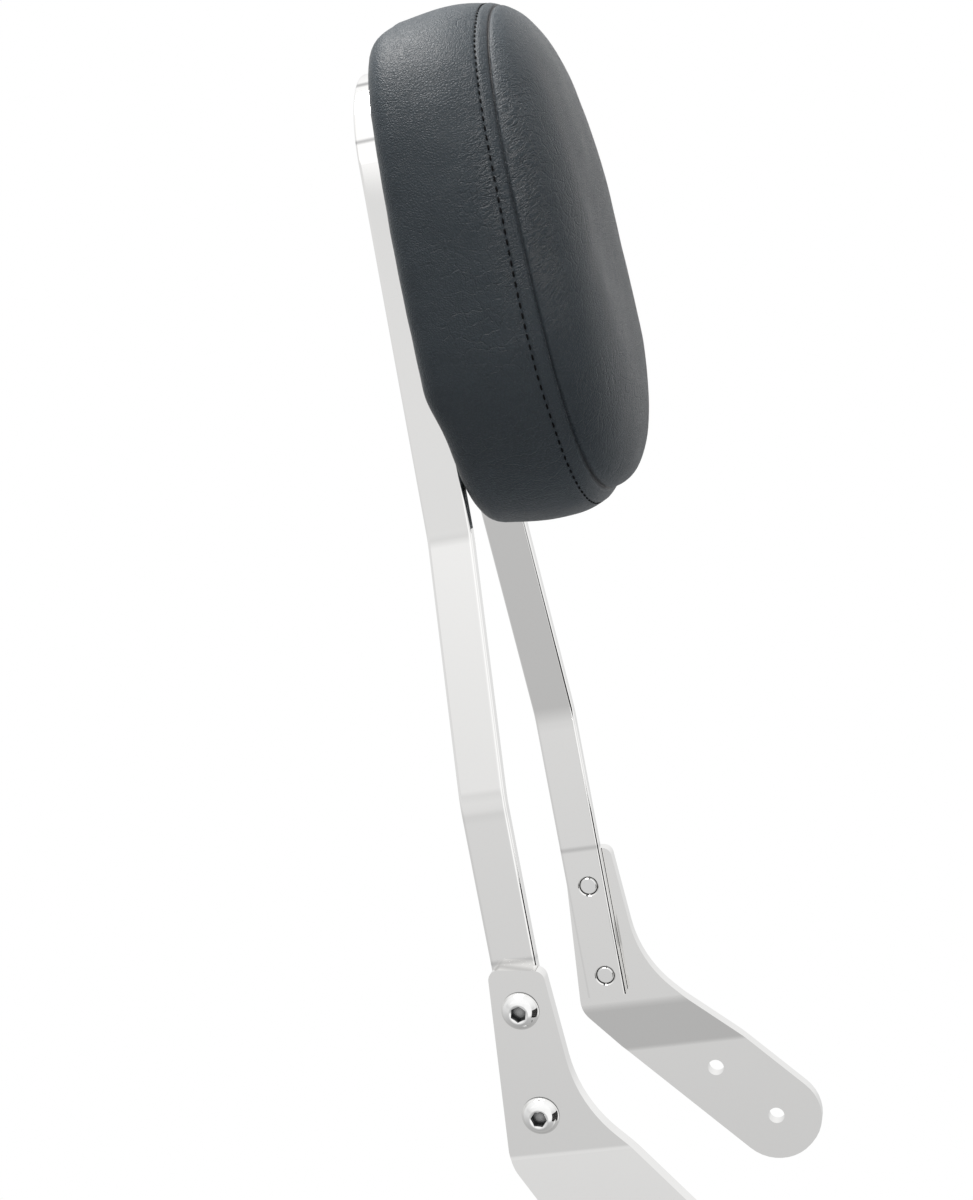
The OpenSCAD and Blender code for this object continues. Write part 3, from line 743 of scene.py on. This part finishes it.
def carry_values(me, row_of, col_of, height, length):
    """Give the mesh the values that the vinyl reads, corner by corner."""
    vi = np.zeros(len(me.loops), int)
    me.loops.foreach_get("vertex_index", vi)
    along = col_of[vi]
    # the last column of faces closes the ring: its far corners carry the full length, not zero
    starts = np.zeros(len(me.polygons), int)
    totals = np.zeros(len(me.polygons), int)
    me.polygons.foreach_get("loop_start", starts)
    me.polygons.foreach_get("loop_total", totals)
    for s, k in zip(starts, totals):
        seg = along[s:s + k]
        if seg.max() - seg.min() > length / 2:
            along[s:s + k] = np.where(seg < length / 2, seg + length, seg)
    for key, data in (("seam_off", row_of[vi]), ("along", along), ("height", height[vi])):
        at = me.attributes.new(key, "FLOAT", "CORNER")
        at.data.foreach_set("value", data.astype(np.float32))


def build_pad():
    """The sewn covering as one closed skin. Returns its grid, the normals and the rows for the stitches."""
    n = 600
    a, length = even_angles(n)
    rows, t_rows, back, front = pad_rows()
    grid = np.array([pad_ring(a, t) for t in t_rows])        # rows x n x 3
    normals = outward_normals(grid)
    off = np.array(rows)[:, None]
    push = seam_relief(off, off + stitch_back(grid[..., 2])) + soft_ripple(grid, off, back)
    grid = grid + normals * push[..., None]

    m = len(rows)
    inner = np.array(grid[0])
    inner[:, 0] = BAR_FRONT + COVER_T
    middles = [[BAR_FRONT + COVER_T, 0, PAD_Z], [CROWN_TIP, 0.0, PAD_Z]]
    verts = np.concatenate([inner, grid.reshape(-1, 3), middles])
    ob = new_piece("pad_cushion", to_part(verts), fanned_rings(m + 1, n), vinyl,
                   ("side_cover", "front_cover"))
    row_of = np.concatenate([np.full(n, rows[0]), np.repeat(rows, n), [rows[0], front]])
    col_of = np.concatenate([np.tile(np.arange(n), m + 1), [0, 0]]) * (length / n)
    carry_values(ob.data, row_of, col_of, verts[:, 2] - PAD_Z, length)
    return grid, normals, np.array(rows)


def build_foam():
    """The foam block under the covering, with the recess that takes the board."""
    n = 160
    a, _ = even_angles(n)
    ts = np.concatenate([np.linspace(1.3, 3, 26), 3 + np.linspace(0, 1, 24)[1:-1] ** 1.3])
    skin = np.array([pad_ring(a, t) for t in ts])
    skin = skin - outward_normals(skin) * FOAM_IN
    y, z = pad_outline(a, 0, BOARD_INSET - RECESS_GAP)
    floor_x, mouth_x = BAR_FRONT + (BOARD_T + RECESS_BACK), BAR_FRONT + RECESS_BACK
    recess = [np.stack([np.full(n, x), y, z], -1) for x in (floor_x, mouth_x)]
    middles = [[floor_x, 0, PAD_Z], [CROWN_TIP - FOAM_IN, 0.0, PAD_Z]]
    verts = np.concatenate([*recess, skin.reshape(-1, 3), middles])
    new_piece("foam_block", to_part(verts), fanned_rings(len(ts) + 2, n), foam_stuff, ("pad_foam",))


def stitch_line(grid, normals, rows):
    """The topstitch's closed line in the channel, as points, normals and the way along it."""
    line, line_normals = np.empty((grid.shape[1], 3)), np.empty((grid.shape[1], 3))
    seam_row = np.argmin(np.abs(rows))
    for j in range(grid.shape[1]):
        back = -stitch_back(grid[seam_row, j, 2])
        for k in range(3):
            line[j, k] = np.interp(back, rows, grid[:, j, k])
            line_normals[j, k] = np.interp(back, rows, normals[:, j, k])
    line, line_normals = np.vstack([line, line[:1]]), np.vstack([line_normals, line_normals[:1]])
    way = np.concatenate([[0], np.cumsum(np.linalg.norm(np.diff(line, axis=0), axis=1))])
    return line, line_normals, way


def stitch_starts(line, way):
    """Where the stitches begin along the line. They are shorter round the pad's top."""
    low_z, over = PAD_Z + 60, 80
    short = ease((line[:, 2] - low_z) / over)
    pitch = STITCH_LONG + (STITCH_SHORT - STITCH_LONG) * short
    beats = np.concatenate([[0], np.cumsum(np.diff(way) * 2 / (pitch[1:] + pitch[:-1]))])
    count = round(beats[-1])
    return np.interp(np.arange(count + 1) * beats[-1] / count, beats, way)


def build_stitches(grid, normals, rows):
    """Dashes of thread in the channel behind the seam, each a small rounded rod dipping into the vinyl."""
    line, line_normals, way = stitch_line(grid, normals, rows)
    starts = stitch_starts(line, way)
    round_steps, long_steps, ahead = 6, 6, 0.2
    lift, dip, taper = 0.22, 0.7, 0.35

    def at(q):
        q = q % way[-1]
        p = np.array([np.interp(q, way, line[:, k]) for k in range(3)])
        w = np.array([np.interp(q, way, line_normals[:, k]) for k in range(3)])
        return p, w / np.linalg.norm(w)

    verts, faces = [], []
    for start, end in zip(starts, starts[1:]):
        faces += capped_rings(long_steps + 1, round_steps, len(verts))
        for j in range(long_steps + 1):
            u = j / long_steps
            q = start + (u - 0.5) * (STITCH_SHARE * (end - start))
            p, w = at(q)
            t = at(q + ahead)[0] - p
            side = np.cross(t / np.linalg.norm(t), w)
            rise = lift - dip * (2 * abs(u - 0.5)) ** 4
            r = STITCH_R * (1 - taper * (2 * abs(u - 0.5)) ** 2)
            for g in range(round_steps):
                turn = 2 * math.pi * g / round_steps
                verts.append(p + w * (rise + 0.8 * r * math.sin(turn)) + side * r * math.cos(turn))
    new_piece("topstitch", to_part(verts), faces, thread)


def build_staples():
    """Staples that hold the hem to the board, seen only from behind."""
    inset, step = HEM_INSET - 5.5, 0.02
    # a staple's wire along its crown and as height over the hem, and the wire's half height and half width
    wire = [(-5.0, -1.2), (-5.0, 0.1), (-4.6, 0.45), (4.6, 0.45), (5.0, 0.1), (5.0, -1.2)]
    leg_u, half_h, half_w, round_steps = 4.8, 0.22, 0.42, 6
    rng = random.Random(3)
    out = np.array([-1.0, 0, 0])
    verts, faces = [], []
    for angle in even_angles(STAPLES)[0]:
        angle = float(angle) + rng.uniform(-0.01, 0.01)
        y, z = pad_outline(np.array([angle, angle + step]), 0, inset)
        t = np.array([0, y[1] - y[0], z[1] - z[0]])
        t /= np.linalg.norm(t)
        tilt = rng.uniform(-0.35, 0.35)
        d = t * math.cos(tilt) + np.cross(out, t) * math.sin(tilt)
        e = np.cross(out, d)
        faces += capped_rings(len(wire), round_steps, len(verts))
        for u, h in wire:
            # the wire's section stands across the crown and, at the legs, across them
            across = out if abs(u) < leg_u else d * (1 if u < 0 else -1)
            for g in range(round_steps):
                q = 2 * math.pi * g / round_steps
                section = across * half_h * math.sin(q) + e * half_w * math.cos(q)
                verts.append(np.array([BAR_FRONT, y[0], z[0]]) + d * u + out * h + section)
    new_piece("hem_staples", to_part(verts), faces, staple_steel)


# Build

SIDES = {"right": -1, "left": 1}

build_hoop()
for side_name, sign in SIDES.items():
    softened(side_name + "_side_plate", side_name + "_plate", plate_chrome, 0.9)
    for level, bolt_z in BOLT_HEIGHTS.items():
        build_bolt(f"{side_name}_{level}_plate_bolt", sign, bolt_z)
for level in BOLT_HEIGHTS:
    softened(level + "_strap", level + "_cross_strap", hoop_chrome, 0.5)
pad_grid, pad_normals, row_list = build_pad()
build_foam()
build_stitches(pad_grid, pad_normals, row_list)
build_staples()

for level in BOLT_HEIGHTS:
    for side_name in SIDES:
        softened(f"{level}_{side_name}_pad_screw", f"{level}_{side_name}_screw", zinc, 0.35)
        softened(f"{level}_{side_name}_washer", f"{level}_{side_name}_flat_washer", zinc, 0.25)
give_material("pad_board", ply)
give_material("back_panel", panel_black)
for node_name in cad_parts:
    if node_name.endswith("tee_nut"):
        give_material(node_name, zinc)


# Camera, at the photograph's angle

AZ, EL = 0.2047, 0.1755
DIST = 1327.32
TARGET = Vector((-127.03, 0.0, 328.38))   # mm in the row's frame, on the camera's axis
LENS, SENSOR = 67.88, 36.0


def place_camera():
    cam = bpy.data.cameras.new("camera")
    cam.lens = LENS
    cam.sensor_width = SENSOR
    cam.sensor_fit = "AUTO"
    cam.clip_end = 20.0
    ob = bpy.data.objects.new("camera", cam)
    scene.collection.objects.link(ob)
    fwd = Vector((-math.sin(AZ) * math.cos(EL), math.cos(AZ) * math.cos(EL), -math.sin(EL)))
    right = Vector((math.cos(AZ), math.sin(AZ), 0.0))
    up = right.cross(fwd)
    rot = Matrix((right, up, -fwd)).transposed()
    ob.matrix_world = Matrix.Translation((TARGET - fwd * DIST) * MM) @ rot.to_4x4()
    scene.camera = ob


# Studio, in metres

WHITE, FLOOR_GREY, BLACK = (1.0, 1.0, 1.0, 1.0), (0.85, 0.85, 0.85, 1.0), (0.01, 0.01, 0.01, 1.0)
FILL = (0.95, 0.985, 1.0, 1.0)
# what the metal mirrors, as (direction's z, grey), on the camera's side and on the far side
NEAR_GREYS = ((-1.0, 0.40), (-0.66, 0.50), (-0.40, 0.60), (-0.175, 0.72), (0.0, 0.74), (0.17, 0.70),
              (0.37, 0.87), (0.70, 1.0), (1.0, 1.0))
FAR_GREYS = ((-1.0, 0.40), (-0.66, 0.50), (-0.40, 0.62), (-0.09, 0.76), (0.17, 0.83), (0.36, 0.88),
             (0.70, 1.0), (1.0, 1.0))
FLOOR_Z, FLOOR_HALF = -0.30, 6.0


def build_world():
    """White to the camera, a soft fill to matt surfaces and a room of greys to reflections."""
    w = bpy.data.worlds.new("studio")
    scene.world = w
    w.use_nodes = True
    nt = w.node_tree
    nt.nodes.clear()
    out = nt.nodes.new("ShaderNodeOutputWorld")
    path = nt.nodes.new("ShaderNodeLightPath")
    d = add(nt, "ShaderNodeTexCoord").outputs["Generated"]
    x, y, z = add(nt, "ShaderNodeSeparateXYZ", {0: d}).outputs
    level = calc(nt, "MULTIPLY_ADD", z, 0.5, 0.5)
    near_side, far_side = (ramp(nt, level, [((dz + 1) / 2, grey) for dz, grey in greys])
                           for greys in (NEAR_GREYS, FAR_GREYS))
    mirror = mix_colour(nt, span(nt, y, -0.1, 0.1), near_side, far_side)
    # white flanks to the left and right in front
    flanks = product(nt, span(nt, x, 0.35, 0.50), span(nt, z, -0.60, -0.30),
                     span(nt, calc(nt, "ABSOLUTE", y), 0.25, 0.45))
    mirror = mix_colour(nt, flanks, mirror, WHITE[:3])
    fill = add(nt, "ShaderNodeBackground", {"Color": FILL, "Strength": 0.26})
    glossy = add(nt, "ShaderNodeBackground", {"Color": mirror, "Strength": 1.06})
    white = add(nt, "ShaderNodeBackground", {"Color": WHITE, "Strength": 1.0})
    lit = mix_shader(nt, path.outputs["Is Glossy Ray"], fill, glossy)
    seen = mix_shader(nt, path.outputs["Is Camera Ray"], lit, white)
    nt.links.new(seen.outputs[0], out.inputs[0])


def stage_plane(name, corners, material, unseen_by):
    """A flat card of the studio, which the named kinds of ray don't see."""
    ob = mesh_object(name, corners, [(0, 1, 2, 3)])
    ob.data.materials.append(material)
    for ray in unseen_by:
        setattr(ob, "visible_" + ray, False)


def build_floor():
    """Plain white to the camera, light grey to the light."""
    m, nt, out = bare_material("floor")
    path = nt.nodes.new("ShaderNodeLightPath")
    matt = add(nt, "ShaderNodeBsdfDiffuse", {"Color": FLOOR_GREY})
    glow = add(nt, "ShaderNodeEmission", {"Color": WHITE, "Strength": 1.0})
    seen = mix_shader(nt, path.outputs["Is Camera Ray"], matt, glow)
    nt.links.new(seen.outputs[0], out.inputs[0])
    corners = [(sx * FLOOR_HALF, sy * FLOOR_HALF, FLOOR_Z) for sx, sy in ((-1, -1), (1, -1), (1, 1), (-1, 1))]
    stage_plane("floor", corners, m, ("glossy",))


def build_flag():
    """A black studio flag low in front, which only reflections see."""
    x, y0, y1, z0, z1 = 0.55, -0.36, 0.34, -0.29, 0.15
    m, _, bsdf = new_material("flag")
    bsdf.inputs["Base Color"].default_value = BLACK
    bsdf.inputs["Roughness"].default_value = 1.0
    corners = [(x, y0, z0), (x, y1, z0), (x, y1, z1), (x, y0, z1)]
    stage_plane("flag", corners, m, ("camera", "diffuse", "shadow"))


def build_bend_card():
    """A white card beside the hoop's top, which only reflections see. Its lower edge fades out."""
    x0, x1, y, z0, z1 = -1.2, 1.0, -0.55, 0.55, 2.0
    fade_from, fade_to = 0.60, 0.64
    m, nt, out = bare_material("bend_card")
    z = add(nt, "ShaderNodeSeparateXYZ", {0: add(nt, "ShaderNodeTexCoord").outputs["Object"]}).outputs[2]
    glow = add(nt, "ShaderNodeEmission", {"Color": WHITE, "Strength": 1.1})
    clear = nt.nodes.new("ShaderNodeBsdfTransparent")
    faded = mix_shader(nt, span(nt, z, fade_from, fade_to), clear, glow)
    nt.links.new(faded.outputs[0], out.inputs[0])
    corners = [(x0, y, z0), (x1, y, z0), (x1, y, z1), (x0, y, z1)]
    stage_plane("bend_card", corners, m, ("camera", "diffuse", "shadow", "transmission"))


def area_light(name, at, look, width, depth, power, colour=(1.0, 1.0, 1.0), mirrored=False):
    li = bpy.data.lights.new(name, "AREA")
    li.shape = "RECTANGLE"
    li.size = width
    li.size_y = depth
    li.energy = power
    li.color = colour
    ob = bpy.data.objects.new(name, li)
    scene.collection.objects.link(ob)
    ob.location = at
    ob.rotation_euler = (Vector(look) - Vector(at)).to_track_quat("-Z", "Y").to_euler()
    ob.visible_glossy = mirrored


place_camera()
build_world()
build_floor()
build_flag()
build_bend_card()
area_light("top_softbox", at=(-0.54, -0.26, 1.95), look=(-0.12, 0.0, 0.4), width=1.4, depth=1.0, power=90.0,
           colour=(1.0, 0.975, 0.95), mirrored=True)
area_light("low_front_card", at=(1.0, -0.6, -0.25), look=(-0.05, 0.0, 0.35), width=0.8, depth=0.8, power=1.5)
area_light("floor_card", at=(0.35, -0.25, -0.27), look=(-0.05, -0.05, 0.4), width=0.5, depth=0.5, power=4.5)

scene.view_settings.view_transform = "Standard"
